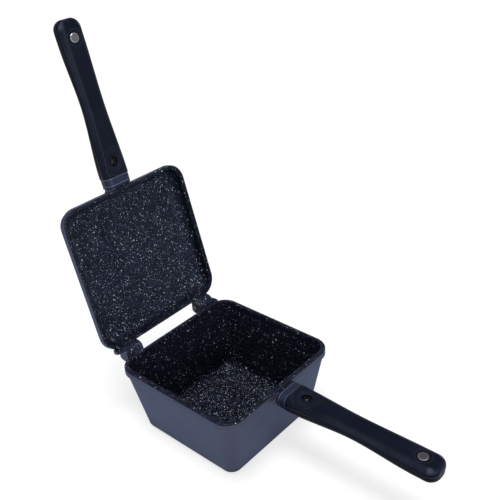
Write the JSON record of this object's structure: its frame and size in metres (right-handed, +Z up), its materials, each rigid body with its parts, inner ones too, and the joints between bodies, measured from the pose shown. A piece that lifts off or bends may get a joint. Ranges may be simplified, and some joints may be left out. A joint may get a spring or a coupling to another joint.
{
  "type": "double sided flip pan",
  "caption": "Square double-sided frying pan: a deep and a shallow non-stick half hinged rim to rim, each with its own magnetic grip.",
  "frame": {"origin": "centre of the deep pan's flat base", "axes": "+X from the hinge towards the deep pan's grip, +Z up, +Y along the hinge"},
  "size_m": [0.5048, 0.186, 0.4685],
  "materials": {
    "coated_casting": "speckled non-stick coating inside, satin blue-grey coating outside",
    "coated_steel": "coated with the casting",
    "guard_metal": "satin blue-grey coating",
    "grip_plastic": "soft satin black",
    "black_screw": "gloss black",
    "spring_steel": "plain",
    "magnet_metal": "nickel plated, brushed"
  },
  "bodies": {
    "deep": {"deep_pan": "coated_casting", "deep_hinge_pin": "coated_steel", "deep_flame_guard": "guard_metal", "deep_grip": "grip_plastic", "deep_handle_screw": "black_screw", "deep_lock_washer": "spring_steel", "deep_magnet": "magnet_metal"},
    "shallow": {"shallow_pan": "coated_casting", "shallow_hinge_pin": "coated_steel", "shallow_flame_guard": "guard_metal", "shallow_grip": "grip_plastic", "shallow_handle_screw": "black_screw", "shallow_lock_washer": "spring_steel", "shallow_magnet": "magnet_metal"}
  },
  "joints": [
    {"name": "flip", "type": "hinge", "parent": "deep", "child": "shallow", "pos_m": [-0.0985, 0, 0.0962], "axis": [0, 1, 0], "range_deg": [0, 105]}
  ]
}
